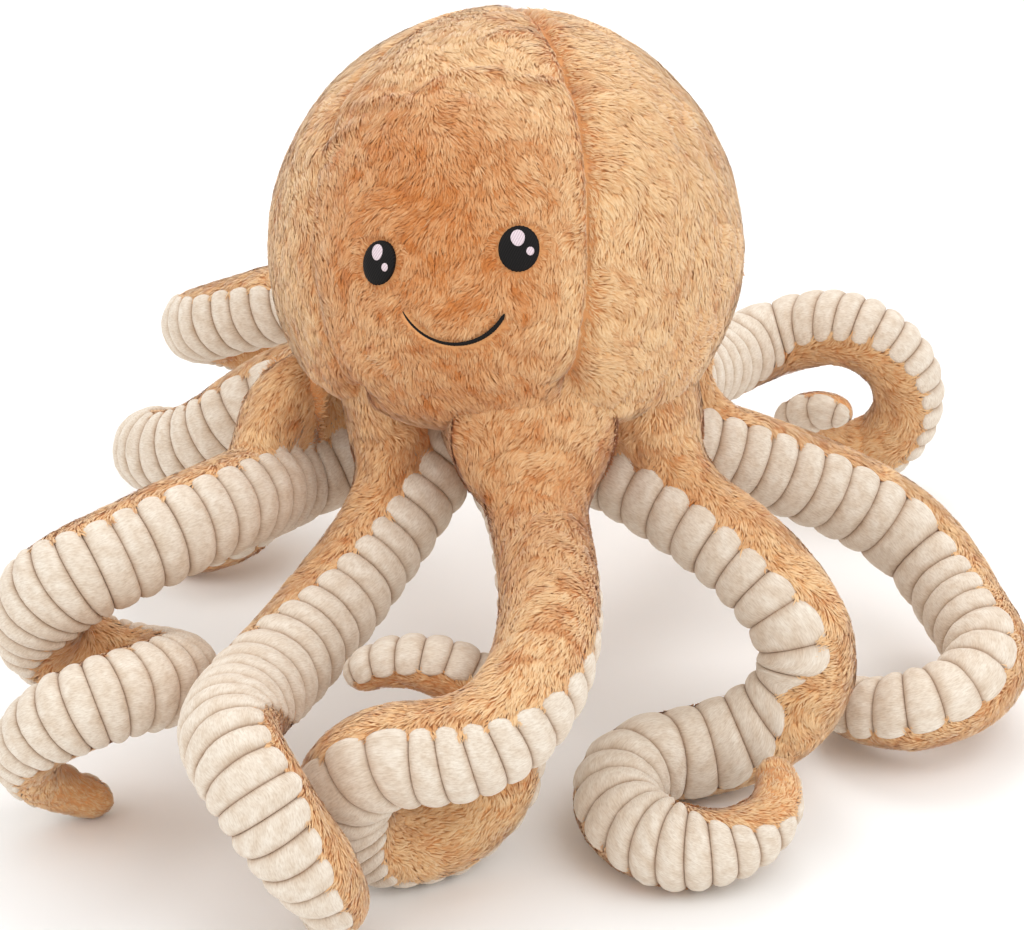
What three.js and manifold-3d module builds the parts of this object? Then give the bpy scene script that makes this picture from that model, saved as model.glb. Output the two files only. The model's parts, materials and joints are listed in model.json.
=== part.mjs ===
import * as THREE from 'three';
import { mergeVertices } from 'three/addons/utils/BufferGeometryUtils.js';
import Module from 'manifold-3d';

const wasm = await Module();
wasm.setup();

// A plush octopus, standing on the curls of its eight tentacles. Millimetres, +Z up.
// The face looks along -Y. A bearing turns from -Y towards +X, in degrees.

// The head: a stuffed ball sewn from five gores, with a round panel under it.
const headRadius = 99;
const headHeight = 196;
const headPile = 3.2;
const bellyEdge = -66;
const seamLean = { back: 22, over: -6 };
const goreSeams = [36, 108, 180, 252, 324];
const goreNames = ['head_panel_right', 'head_panel_back_right', 'head_panel_back_left',
  'head_panel_left', 'head_panel_face'];

// The tentacles: stuffing in a tube of two strips, fur inside the curl and ribbed plush outside.
const tentacleRadius = 20.5;
const tipRadius = 8;
const tipRound = 8.8;
const strandPile = 3.2;
const rootReach = 55;
const rootDrop = 82;
const rootHeight = headHeight - rootDrop;
const rootWedge = 26;
const rootThin = 2.4;
const rootNarrow = 0.86;
const furAngles = [-95, -47.5, 0, 47.5, 95];
const ribAngles = [95, 151.7, 208.3, 265];
const slimming = 3;
const taperShares = { full: 0.4, slim: 0.8 };
const tipShare = 0.3;
const closeShare = 0.5;

// What a fit needs: the gap between sewn pieces, the lift of a tentacle and the way the foot is cut.
const gap = 0.3;
const liftUp = 20;
const liftDown = -6;
const footDepth = 0.5;
const overrun = 40;

// How finely the forms are stepped.
const archSteps = 6;
const curlStep = 37;
const ballSteps = 9;
const goreColumns = 3;
const ovalSteps = 9;
const poleRise = 89.7;
const aheadShare = 0.001;
const weldReach = 0.0001;

// Embroidery on the face: satin-stitch eyes with two glints each, and a stitched smile.
const patchRise = 1.1;
const eye = { wide: 15.5, tall: 17.5, lean: -8 };
const eyes = {
  left: { bearing: -15.5, up: 14.2 },
  right: { bearing: 18.3, up: 20 },
};
const glints = {
  large: { wide: 5.2, tall: 6.4, across: -0.6, up: 3.6 },
  small: { wide: 2.8, tall: 3, across: 3.4, up: -1.4 },
};
const smile = { bearing: 3, up: 11.1, radius: 22.8, from: -56, to: 62, thin: 0.9, thick: 1.7, steps: 12 };

// Each tentacle leaves the head at its root bearing, arches out and ends in a curl.
// The curl turns about a centre at a bearing, a reach from the head's axis and a height.
// Its radius goes from first to last while it sweeps, rising along an axis that leans by tilt
// towards a bearing. Rolls turn the fur about the tentacle: 0 faces the curl's centre.
const tentacles = [
  { name: 'front_right', root: 22.5, pitch: -16.8, out: 51.8, back: 73.1, furLean: 0, furHold: 0.3,
    curl: { bearing: 6.9, reach: 199.1, height: 45.6, tilt: -82.4, toward: 21.4, first: 31.1, last: 31.6,
      start: 12.1, sweep: -403, rise: 60.7, rolls: [108, 92, 55, -20, -60, -50, -30, -5, 0] } },
  { name: 'right_front', root: 67.5, pitch: 11.8, out: 150, back: 64, furLean: -55, furHold: 0.2,
    curl: { bearing: 43.2, reach: 162.8, height: 13.9, tilt: 8.6, toward: 24, first: 35, last: 28.2,
      start: 211.8, sweep: 278.6, rise: 15.5, rolls: [-128, -105, -70, 0, 60, 70] } },
  { name: 'right_back', root: 112.5, pitch: 19.4, out: 142.2, back: 70.5, furLean: -70, furHold: 0.3,
    curl: { bearing: 86.6, reach: 170.9, height: 36.3, tilt: -1.3, toward: 20.3, first: 43, last: 10,
      start: 128.1, sweep: -278.5, rise: -30.8, rolls: [-165, -95, -60, -50, -50] } },
  { name: 'back_right', root: 157.5, pitch: 20, out: 110, back: 60, furLean: -90, furHold: 0,
    curl: { bearing: 154.8, reach: 266, height: 48.6, tilt: -75, toward: 5, first: 36, last: 17,
      start: -25, sweep: 405, rise: -50, rolls: [-10, -25, -30, 10, 60, 100] } },
  { name: 'back_left', root: -157.5, pitch: -15, out: 90, back: 60, furLean: 0, furHold: 0.3,
    curl: { bearing: -134, reach: 250, height: 89.3, tilt: 0, toward: 15, first: 27, last: 18,
      start: -10, sweep: -400, rise: -85, rolls: [30, 20, 0] } },
  { name: 'left_back', root: -112.5, pitch: -5, out: 80, back: 50, furLean: 60, furHold: 0,
    curl: { bearing: -111, reach: 172, height: 67.6, tilt: 0, toward: 15, first: 26, last: 18,
      start: -20, sweep: -400, rise: -62.3, rolls: [0, -20, -60, -60] } },
  { name: 'left_front', root: -67.5, pitch: 25.8, out: 80.5, back: 110, furLean: 60, furHold: 0.2,
    curl: { bearing: -45.3, reach: 186.6, height: 89.5, tilt: 42.8, toward: -155.9, first: 21.3, last: 33.4,
      start: 19.9, sweep: -535.6, rise: -82.8, rolls: [50, 25, -20, -40, -10, 20, 10, -20, -40] } },
  { name: 'front_left', root: -22.5, pitch: 34.6, out: 150, back: 50.6, furLean: 70, furHold: 0,
    curl: { bearing: -2.2, reach: 203.8, height: 55.3, tilt: 30.5, toward: 117, first: 46, last: 13.9,
      start: -25.1, sweep: 127.4, rise: -50.5, rolls: [-8, 75, 110, 110] } },
];

const radians = THREE.MathUtils.degToRad;
const up = new THREE.Vector3(0, 0, 1);

function heading(bearing) {
  return new THREE.Vector3(Math.sin(radians(bearing)), -Math.cos(radians(bearing)), 0);
}

function smooth(share) {
  const held = THREE.MathUtils.clamp(share, 0, 1);
  return held * held * (3 - 2 * held);
}

function between(list, share) {
  const place = THREE.MathUtils.clamp(share, 0, 1) * (list.length - 1);
  const low = Math.min(Math.floor(place), list.length - 2);
  return THREE.MathUtils.lerp(list[low], list[low + 1], place - low);
}

// Materials, one for each cloth or thread.
const cloths = {
  fur: new THREE.MeshStandardMaterial({ color: '#e0ab74', roughness: 0.95, metalness: 0 }),
  ribbed: new THREE.MeshStandardMaterial({ color: '#efe3d4', roughness: 0.92, metalness: 0 }),
  stuffing: new THREE.MeshStandardMaterial({ color: '#f4f2ee', roughness: 1, metalness: 0 }),
  black_thread: new THREE.MeshStandardMaterial({ color: '#17120f', roughness: 0.5, metalness: 0 }),
  white_thread: new THREE.MeshStandardMaterial({ color: '#f3e6e6', roughness: 0.5, metalness: 0 }),
};

const octopus = new THREE.Group();

function addPiece(name, geometry, cloth) {
  geometry.computeVertexNormals();
  const mesh = new THREE.Mesh(geometry, cloths[cloth]);
  mesh.name = name;
  octopus.add(mesh);
}

// Solids: a geometry's shared vertices are merged before it becomes a solid that can be cut.
function toSolid(geometry) {
  const bare = geometry.clone();
  bare.deleteAttribute('normal');
  bare.deleteAttribute('uv');
  const merged = mergeVertices(bare, weldReach);
  return new wasm.Manifold(new wasm.Mesh({
    numProp: 3,
    vertProperties: new Float32Array(merged.attributes.position.array),
    triVerts: new Uint32Array(merged.index.array),
  }));
}

function toGeometry(solid) {
  const mesh = solid.getMesh();
  const geometry = new THREE.BufferGeometry();
  geometry.setAttribute('position', new THREE.BufferAttribute(new Float32Array(mesh.vertProperties), 3));
  geometry.setIndex(new THREE.BufferAttribute(new Uint32Array(mesh.triVerts), 1));
  return geometry;
}

// The largest body of a solid, which drops any crumb that a cut leaves behind.
function mainBody(solid) {
  const bodies = solid.decompose();
  return bodies.reduce((best, body) => (body.volume() > best.volume() ? body : best));
}

// A loft through rings of equally many points. Each ring is a list of strips, where a strip runs
// with the angle (outside) or against it (inside), so that nested faces fold along the same lines.
function loft(rings, folds, caps) {
  const across = rings[0].length;
  const positions = rings.flatMap((ring) => ring.flatMap((point) => point.toArray()));
  const faces = [];
  for (let row = 0; row + 1 < rings.length; row += 1) {
    for (let column = 0; column < across; column += 1) {
      const a = row * across + column;
      const b = row * across + ((column + 1) % across);
      const c = a + across;
      const d = b + across;
      if (folds[column]) faces.push(a, b, c, b, d, c);
      else faces.push(a, b, d, a, d, c);
    }
  }
  const last = (rings.length - 1) * across;
  for (const [a, b, c] of caps) {
    faces.push(a, c, b, last + a, last + b, last + c);
  }
  const geometry = new THREE.BufferGeometry();
  geometry.setAttribute('position', new THREE.Float32BufferAttribute(positions, 3));
  geometry.setIndex(faces);
  return geometry;
}

// The caps and folds of a solid section, and of a strip with an outer and an inner row of points.
function coreSection(count) {
  const caps = [];
  for (let k = 1; k + 1 < count; k += 1) caps.push([0, k, k + 1]);
  return { folds: new Array(count).fill(false), caps };
}

function stripSection(count) {
  const caps = [];
  for (let k = 0; k + 1 < count; k += 1) {
    const inner = 2 * count - 1 - k;
    caps.push([k, k + 1, inner - 1], [k, inner - 1, inner]);
  }
  const folds = [];
  for (let k = 0; k < 2 * count; k += 1) folds.push(k >= count);
  return { folds, caps };
}

// The curl's own frame: an axis that leans by its tilt, and a point and two directions on it.
function curlPoint(curl, share) {
  const angle = curl.start + curl.sweep * share;
  const radius = THREE.MathUtils.lerp(curl.first, curl.last, share);
  const lean = new THREE.Matrix4().makeRotationAxis(
    new THREE.Vector3().crossVectors(up, heading(curl.toward)), radians(curl.tilt));
  const away = heading(angle).applyMatrix4(lean);
  const axis = up.clone().applyMatrix4(lean);
  const centre = heading(curl.bearing).multiplyScalar(curl.reach).addScaledVector(up, curl.height);
  const roll = radians(between(curl.rolls, share));
  return {
    point: centre.addScaledVector(away, radius).addScaledVector(axis, curl.rise * share),
    fur: away.clone().multiplyScalar(-Math.cos(roll)).addScaledVector(axis, Math.sin(roll)),
  };
}

// Straight up, made square to a direction, and the lean of another direction from it.
function upright(along) {
  return up.clone().addScaledVector(along, -up.dot(along)).normalize();
}

function leanOf(direction, along) {
  const base = upright(along);
  const side = new THREE.Vector3().crossVectors(along, base);
  return THREE.MathUtils.radToDeg(Math.atan2(direction.dot(side), direction.dot(base)));
}

// The stations of a tentacle: its arch by a cubic curve, then its curl by even angles.
function stations(tentacle, curl) {
  const first = curlPoint(curl, 0);
  const entry = curlPoint(curl, aheadShare).point.sub(first.point).normalize();
  const root = heading(tentacle.root).multiplyScalar(rootReach).addScaledVector(up, rootHeight);
  const leave = heading(tentacle.root).multiplyScalar(Math.cos(radians(tentacle.pitch)))
    .addScaledVector(up, -Math.sin(radians(tentacle.pitch)));
  const arch = new THREE.CubicBezierCurve3(
    root,
    root.clone().addScaledVector(leave, tentacle.out),
    first.point.clone().addScaledVector(entry, -tentacle.back),
    first.point,
  );
  const list = [];
  const last = leanOf(first.fur, entry);
  const turn = THREE.MathUtils.euclideanModulo(last - tentacle.furLean + 180, 360) - 180;
  for (let step = 0; step < archSteps; step += 1) {
    const share = arch.getUtoTmapping(step / archSteps);
    const along = arch.getTangent(share);
    const turned = smooth((share - tentacle.furHold) / (1 - tentacle.furHold));
    const fur = upright(along).applyAxisAngle(along, radians(tentacle.furLean + turn * turned));
    list.push({ point: arch.getPoint(share), along, fur });
  }
  const curlSteps = Math.ceil(Math.abs(curl.sweep) / curlStep);
  for (let step = 0; step <= curlSteps; step += 1) {
    const share = step / curlSteps;
    const here = curlPoint(curl, share);
    const ahead = curlPoint(curl, share + aheadShare).point;
    const behind = curlPoint(curl, share - aheadShare).point;
    list.push({ point: here.point, along: ahead.sub(behind).normalize(), fur: here.fur });
  }
  let travelled = 0;
  list.forEach((station, index) => {
    if (index) travelled += station.point.distanceTo(list[index - 1].point);
    station.length = travelled;
    station.fur.addScaledVector(station.along, -station.fur.dot(station.along)).normalize();
    station.side = new THREE.Vector3().crossVectors(station.along, station.fur);
  });
  return list;
}

// A tentacle's outer radius: full, then tapering to its tip, and rounded off at the very end.
function radiusAt(length, total) {
  const share = length / total;
  const slim = tentacleRadius - slimming;
  let radius = tentacleRadius;
  if (share > taperShares.slim) {
    radius = THREE.MathUtils.mapLinear(share, taperShares.slim, 1, slim, tipRadius);
  } else if (share > taperShares.full) {
    radius = THREE.MathUtils.mapLinear(share, taperShares.full, taperShares.slim, tentacleRadius, slim);
  }
  const left = THREE.MathUtils.clamp((total - length) / tipRound, 0, 1);
  return radius * Math.sqrt(1 - (1 - left) ** 2);
}

// A point of the section: the tube flattens to its sewn root, a wedge that the seam lets hinge.
function sectionPoint(station, total, angle, inset, shift) {
  const outer = radiusAt(station.length, total);
  const least = tipRadius * tipShare - inset * closeShare;
  const radius = Math.max(outer - inset, least);
  const turn = radians(angle);
  const offset = station.fur.clone().multiplyScalar(Math.cos(turn))
    .addScaledVector(station.side, Math.sin(turn)).multiplyScalar(radius);
  offset.addScaledVector(station.fur, -Math.sin(turn) * shift)
    .addScaledVector(station.side, Math.cos(turn) * shift);
  const open = THREE.MathUtils.clamp(station.length / rootWedge, 0, 1);
  const flat = THREE.MathUtils.lerp(rootThin / tentacleRadius, 1, open);
  const wide = THREE.MathUtils.lerp(rootNarrow, 1, open);
  const sideways = offset.clone().addScaledVector(up, -offset.dot(up)).multiplyScalar(wide);
  return station.point.clone().add(sideways).addScaledVector(up, offset.dot(up) * flat);
}

// A curl comes down until its underside is a foot's depth below the surface that it lies on.
function settled(tentacle) {
  const list = stations(tentacle, tentacle.curl);
  const angles = [...furAngles, ...ribAngles];
  const heights = list.flatMap((station) => angles.map(
    (angle) => sectionPoint(station, list.at(-1).length, angle, 0, 0).z));
  const height = tentacle.curl.height - Math.min(...heights) - footDepth;
  return stations(tentacle, { ...tentacle.curl, height });
}

function coreRings(list, total) {
  const angles = [...furAngles, ...ribAngles.slice(1, -1)];
  return list.map((station) => angles.map(
    (angle) => sectionPoint(station, total, angle, strandPile + gap, 0)));
}

function stripRings(list, total, angles) {
  const sides = angles.map((_, k) => (k === 0 ? gap / 2 : 0) - (k === angles.length - 1 ? gap / 2 : 0));
  return list.map((station) => {
    const outside = angles.map((angle, k) => sectionPoint(station, total, angle, 0, sides[k]));
    const inside = angles.map((angle, k) => sectionPoint(station, total, angle, strandPile, sides[k]));
    return [...outside, ...inside.reverse()];
  });
}

// Head surfaces: a ball of gores, each with its own columns of points between two seams.
function headPoint(bearing, rise, radius) {
  return heading(bearing).multiplyScalar(Math.cos(radians(rise)) * radius)
    .addScaledVector(up, headHeight + Math.sin(radians(rise)) * radius);
}

const headColumns = goreSeams.length * goreColumns;

// The seams meet at a crown that leans back from the face and a little to one side.
const crownTurn = new THREE.Matrix4().makeRotationY(radians(seamLean.over))
  .multiply(new THREE.Matrix4().makeRotationX(-radians(seamLean.back)));

function leaned(geometry) {
  return geometry.translate(0, 0, -headHeight).applyMatrix4(crownTurn).translate(0, 0, headHeight);
}

function ball(radius) {
  const rings = [];
  for (let row = 0; row <= ballSteps; row += 1) {
    const rise = THREE.MathUtils.lerp(-90, 90, row / ballSteps);
    const limited = THREE.MathUtils.clamp(rise, -poleRise, poleRise);
    const ring = [];
    for (let column = 0; column < headColumns; column += 1) {
      ring.push(headPoint(goreSeams[0] + (360 * column) / headColumns, limited, radius));
    }
    rings.push(ring);
  }
  const { folds, caps } = coreSection(headColumns);
  return toSolid(leaned(loft(rings, folds, caps)));
}

const stuffingBall = ball(headRadius - headPile - gap);
const skinBall = ball(headRadius);
const liningBall = ball(headRadius - headPile);
const headShell = skinBall.subtract(liningBall);

// A wedge of space between two bearings, which cuts one gore out of the head's shell.
function goreWedge(from, to) {
  const reach = headRadius * 2;
  const outline = new THREE.Shape();
  const inward = gap / 2 / Math.sin(radians((to - from) / 2));
  const tip = heading((from + to) / 2).multiplyScalar(inward);
  const corners = [from, (from + to) / 2, to].map((bearing) => heading(bearing).multiplyScalar(reach));
  outline.moveTo(tip.x, tip.y);
  for (const corner of corners) outline.lineTo(corner.x + tip.x, corner.y + tip.y);
  outline.closePath();
  const wedge = new THREE.ExtrudeGeometry(outline, { depth: reach + reach, bevelEnabled: false });
  wedge.translate(0, 0, headHeight - reach);
  return toSolid(leaned(wedge));
}

const bellyHeight = headHeight + Math.sin(radians(bellyEdge)) * headRadius;

// Everything below a height, as a block that is wider than the whole toy.
const toyReach = Math.max(...tentacles.map(
  ({ curl }) => curl.reach + Math.max(curl.first, curl.last) + tentacleRadius));

function below(height) {
  const wide = (toyReach + overrun) * 2;
  const block = new THREE.BoxGeometry(wide, wide, wide);
  block.translate(0, 0, height - wide / 2);
  return toSolid(block);
}

function addHead() {
  const upper = headShell.subtract(below(bellyHeight + gap / 2));
  goreSeams.forEach((seam, index) => {
    const next = seam + 360 / goreSeams.length;
    const gore = mainBody(upper.intersect(goreWedge(seam, next)));
    addPiece(goreNames[index], toGeometry(gore), 'fur');
  });
  const belly = mainBody(headShell.intersect(below(bellyHeight - gap / 2)));
  addPiece('belly_panel', toGeometry(belly), 'fur');
  addPiece('head_stuffing', toGeometry(stuffingBall), 'stuffing');
}

// Embroidery: an outline pushed through the head along the local outward line, and kept as a
// thin layer that follows the head's facets.
const threadFloor = ball(headRadius + gap);
const threadTop = ball(headRadius + patchRise);
const glintFloor = ball(headRadius + patchRise + gap);
const glintTop = ball(headRadius + patchRise + patchRise);

function stitched(outline, place, floor, top) {
  const prism = new THREE.ExtrudeGeometry(outline, { depth: overrun, bevelEnabled: false });
  prism.translate(0, 0, headRadius - overrun / 2);
  const frame = new THREE.Matrix4().makeBasis(
    heading(place.bearing + 90),
    headPoint(place.bearing, place.up + 90, 1).sub(new THREE.Vector3(0, 0, headHeight)),
    headPoint(place.bearing, place.up, 1).sub(new THREE.Vector3(0, 0, headHeight)),
  );
  prism.applyMatrix4(frame);
  prism.translate(0, 0, headHeight);
  return mainBody(toSolid(prism).intersect(top).subtract(floor));
}

function oval(size, across, rise, lean) {
  const outline = new THREE.Shape();
  outline.absellipse(across, rise, size.wide / 2, size.tall / 2, 0, 2 * Math.PI, false, radians(lean));
  return new THREE.Shape(outline.getPoints(ovalSteps).slice(0, -1));
}

function addFace() {
  for (const [side, place] of Object.entries(eyes)) {
    const black = stitched(oval(eye, 0, 0, eye.lean), place, threadFloor, threadTop);
    addPiece(`eye_${side}`, toGeometry(black), 'black_thread');
    for (const [kind, glint] of Object.entries(glints)) {
      const outline = oval(glint, glint.across, glint.up, 0);
      const spot = stitched(outline, place, glintFloor, glintTop);
      addPiece(`eye_${side}_${kind}_glint`, toGeometry(spot), 'white_thread');
    }
  }
  const line = new THREE.Shape();
  const rim = [];
  for (let step = 0; step <= smile.steps; step += 1) {
    const share = step / smile.steps;
    const angle = radians(THREE.MathUtils.lerp(smile.from, smile.to, share));
    const half = THREE.MathUtils.lerp(smile.thin, smile.thick, Math.sin(Math.PI * share)) / 2;
    rim.push({ angle, half });
  }
  const at = ({ angle, half }, way) => [
    Math.sin(angle) * (smile.radius + way * half), -Math.cos(angle) * (smile.radius + way * half)];
  line.moveTo(...at(rim[0], 1));
  for (const point of rim.slice(1)) line.lineTo(...at(point, 1));
  for (const point of rim.slice().reverse()) line.lineTo(...at(point, -1));
  line.closePath();
  addPiece('mouth', toGeometry(stitched(line, smile, threadFloor, threadTop)), 'black_thread');
}

// What a tentacle has to clear through its whole lift: the head, turned back the other way
// about the hinge at the tentacle's root.
function headKeepOut(tentacle) {
  const pivot = heading(tentacle.root).multiplyScalar(rootReach).addScaledVector(up, rootHeight);
  const axis = new THREE.Vector3().crossVectors(heading(tentacle.root), up);
  const solids = [liftDown, liftUp].map((lift) => {
    const turn = new THREE.Matrix4().makeTranslation(pivot.x, pivot.y, pivot.z)
      .multiply(new THREE.Matrix4().makeRotationAxis(axis, -radians(lift)))
      .multiply(new THREE.Matrix4().makeTranslation(-pivot.x, -pivot.y, -pivot.z));
    return threadFloor.transform(turn.elements);
  });
  return wasm.Manifold.union(solids);
}

function addTentacle(tentacle) {
  const list = settled(tentacle);
  const total = list.at(-1).length;
  const tip = list.at(-1);
  const blunt = tipRound / 4;
  tip.point.addScaledVector(tip.along, -blunt);
  tip.length -= blunt;
  const keepOut = headKeepOut(tentacle);
  const floor = below(0);
  const fur = stripSection(furAngles.length);
  const ribs = stripSection(ribAngles.length);
  const core = coreSection(furAngles.length + ribAngles.length - 2);
  const strands = [
    ['stuffing', 'stuffing', loft(coreRings(list.slice(1, -1), total), core.folds, core.caps)],
    ['fur_strip', 'fur', loft(stripRings(list, total, furAngles), fur.folds, fur.caps)],
    ['ribbed_strip', 'ribbed', loft(stripRings(list, total, ribAngles), ribs.folds, ribs.caps)],
  ];
  for (const [kind, cloth, geometry] of strands) {
    const solid = mainBody(toSolid(geometry).subtract(keepOut).subtract(floor));
    addPiece(`${tentacle.name}_${kind}`, toGeometry(solid), cloth);
  }
}

addHead();
addFace();
tentacles.forEach(addTentacle);

// The origin lies under the middle of the whole toy, on the surface that it stands on.
const reachBox = new THREE.Box3().setFromObject(octopus, true);
const middle = reachBox.getCenter(new THREE.Vector3());
octopus.position.set(-middle.x, -middle.y, -reachBox.min.z);
octopus.updateMatrixWorld(true);

export default octopus;
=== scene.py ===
import itertools
import json
import math

import bpy
import numpy as np
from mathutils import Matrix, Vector


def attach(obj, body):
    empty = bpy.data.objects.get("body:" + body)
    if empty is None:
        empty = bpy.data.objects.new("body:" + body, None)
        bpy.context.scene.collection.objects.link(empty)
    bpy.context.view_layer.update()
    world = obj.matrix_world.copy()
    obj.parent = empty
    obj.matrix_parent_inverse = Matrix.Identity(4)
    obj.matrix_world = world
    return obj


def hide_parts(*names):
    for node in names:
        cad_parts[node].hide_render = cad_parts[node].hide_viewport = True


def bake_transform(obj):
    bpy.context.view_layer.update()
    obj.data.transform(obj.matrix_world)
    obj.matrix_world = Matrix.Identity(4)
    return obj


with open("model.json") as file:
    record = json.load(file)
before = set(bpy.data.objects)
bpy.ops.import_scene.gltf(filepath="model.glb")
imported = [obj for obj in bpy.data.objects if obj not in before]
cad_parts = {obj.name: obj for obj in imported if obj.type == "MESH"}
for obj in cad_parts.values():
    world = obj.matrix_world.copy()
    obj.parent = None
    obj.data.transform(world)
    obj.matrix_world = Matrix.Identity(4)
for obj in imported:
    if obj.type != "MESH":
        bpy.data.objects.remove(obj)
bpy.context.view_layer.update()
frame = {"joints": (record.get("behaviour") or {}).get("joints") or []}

# A plush octopus: long-pile panels and ribbed strips, sewn over stuffing.
# Metres, +Z up, the face looks along -Y. A bearing turns from -Y towards +X, in degrees.
mm = 0.001

joints = {joint["child"]: joint for joint in frame["joints"]}
rootPlaces = np.array([joint["pos_m"] for joint in joints.values()])
headCentre = rootPlaces.mean(axis=0) + [0, 0, 0.082]
toyAxis = headCentre * [1, 1, 0]


# numbers, noise and frames
def heading(bearing):
    # a level direction: (sin, -cos, 0) of the bearing
    turn = np.radians(bearing)
    return np.stack([np.sin(turn), -np.cos(turn), np.zeros_like(turn)], axis=-1)


def sphereWay(bearing, rise):
    # a direction from a bearing and a rise above level
    flat = heading(bearing) * np.cos(np.radians(rise))[..., None]
    flat[..., 2] = np.sin(np.radians(rise))
    return flat


def smooth(share):
    held = np.clip(share, 0, 1)
    return held * held * (3 - 2 * held)


def unit(vectors):
    return vectors / np.maximum(np.linalg.norm(vectors, axis=-1, keepdims=True), 1e-12)


def flatOn(vectors, normals):
    # what is left of each vector once its part along the normal is taken out
    return vectors - normals * (vectors * normals).sum(axis=1, keepdims=True)


def turnAbout(axis, degrees):
    # the rotation matrix about a unit axis: I cos + (1 - cos) aa' + [a] sin
    x, y, z = axis
    c, s = math.cos(math.radians(degrees)), math.sin(math.radians(degrees))
    cross = np.array([[0, -z, y], [z, 0, -x], [-y, x, 0]])
    return np.eye(3) * c + (1 - c) * np.outer(axis, axis) + cross * s


lattice = np.random.default_rng(11).random((24, 24, 24, 4)) * 2 - 1


def drift(points, size, channel=0):
    # soft noise from -1 to 1: the eight lattice values round a point, mixed by smoothstep
    place = points / size
    cell = np.floor(place).astype(int)
    part = smooth(place - cell)
    total = np.zeros(len(points))
    for corner in itertools.product((0, 1), repeat=3):
        weight = np.prod(np.where(corner, part, 1 - part), axis=1)
        x, y, z = ((cell + corner) % 24).T
        total += weight * lattice[x, y, z, channel]
    return total


def nearestTuft(points, size):
    # cellular noise: the way to the nearest jittered lattice point, and that point's own number
    cell = np.floor(points / size).astype(int)
    best = np.full(len(points), np.inf)
    toward, own = np.zeros_like(points), np.zeros(len(points))
    for step in itertools.product((-1, 0, 1), repeat=3):
        x, y, z = ((cell + step) % 24).T
        here = lattice[x, y, z]
        away = (cell + step + 0.5 + 0.42 * here[:, :3]) * size - points
        gap = (away ** 2).sum(axis=1)
        near = gap < best
        best[near], toward[near], own[near] = gap[near], away[near], here[near, 3]
    return toward, own


# meshes
def screen(red, green, blue):
    # a colour as a screen shows it, 0 to 255, made linear
    part = np.array([red, green, blue]) / 255
    line = np.where(part <= 0.04045, part / 12.92, ((part + 0.055) / 1.055) ** 2.4)
    return (*map(float, line), 1.0)


def gridFaces(rows, columns, wrap=False):
    # the quads of a grid of rows by columns, row after row
    across = columns if wrap else columns - 1
    row, column = np.meshgrid(np.arange(rows - 1), np.arange(across), indexing="ij")
    a = row * columns + column
    b = row * columns + (column + 1) % columns
    return np.stack([a, b, b + columns, a + columns], axis=-1).reshape(-1, 4)


def cornerTable(first, second):
    # every pair of two lists, the first changing slowest
    return np.meshgrid(first, second, indexing="ij")


def tubeCaps(points, rows, columns, flip=False):
    # a wrapped grid closed at both ends: one more point in the middle of each end ring, and its fan
    ring, ahead = np.arange(columns), (np.arange(columns) + 1) % columns
    last = (rows - 1) * columns
    ends = [points[:columns].mean(axis=0), points[last:].mean(axis=0)]
    fans = []
    for hub, near, far in ((len(points), ahead, ring), (len(points) + 1, last + ring, last + ahead)):
        near, far = (far, near) if flip else (near, far)
        fans.append(np.stack([np.full(columns, hub), near, far], axis=1))
    return np.concatenate([points, ends]), np.concatenate(fans)


def makePiece(name, points, faces, materials, maps=None, marks=None, normals=None):
    # one object from whole arrays: points, a list of face arrays, corner maps and point marks
    mesh = bpy.data.meshes.new(name)
    corners = np.concatenate([face.ravel() for face in faces]).astype(np.int32)
    sizes = np.concatenate([np.full(len(face), face.shape[1]) for face in faces])
    starts = np.concatenate([[0], np.cumsum(sizes)[:-1]]).astype(np.int32)
    mesh.vertices.add(len(points))
    mesh.vertices.foreach_set("co", np.ascontiguousarray(points, np.float32).ravel())
    mesh.loops.add(len(corners))
    mesh.loops.foreach_set("vertex_index", corners)
    mesh.polygons.add(len(sizes))
    mesh.polygons.foreach_set("loop_start", starts)
    mesh.update(calc_edges=True)
    mesh.validate()
    mesh.shade_smooth()
    for title, values in (maps or {}).items():
        layer = mesh.uv_layers.new(name=title)
        layer.uv.foreach_set("vector", np.ascontiguousarray(values, np.float32).ravel())
    for title, values in (marks or {}).items():
        mark = mesh.attributes.new(title, "FLOAT", "POINT")
        mark.data.foreach_set("value", np.ascontiguousarray(values, np.float32))
    if normals is not None:
        mesh.normals_split_custom_set_from_vertices(normals.astype(np.float32))
    for material in materials:
        mesh.materials.append(material)
    piece = bpy.data.objects.new(name, mesh)
    bpy.context.scene.collection.objects.link(piece)
    return piece


# cloth and thread finishes
finishes = {
    "fur": {"root": (246, 178, 112), "middle": (234, 189, 138), "tip": (240, 212, 172),
            "deepShade": (212, 154, 102), "paleShade": (255, 254, 251)},
    "ribs": {"crest": (236, 226, 212), "creaseShade": (178, 150, 127), "fleck": (219, 203, 185)},
    "stuffing": {"fibre": (240, 238, 233), "hollowShade": (214, 210, 202)},
    "blackThread": {"thread": (20, 17, 17), "between": (6, 5, 5)},
    "whiteThread": {"thread": (228, 211, 217), "between": (202, 184, 192)},
}


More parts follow.
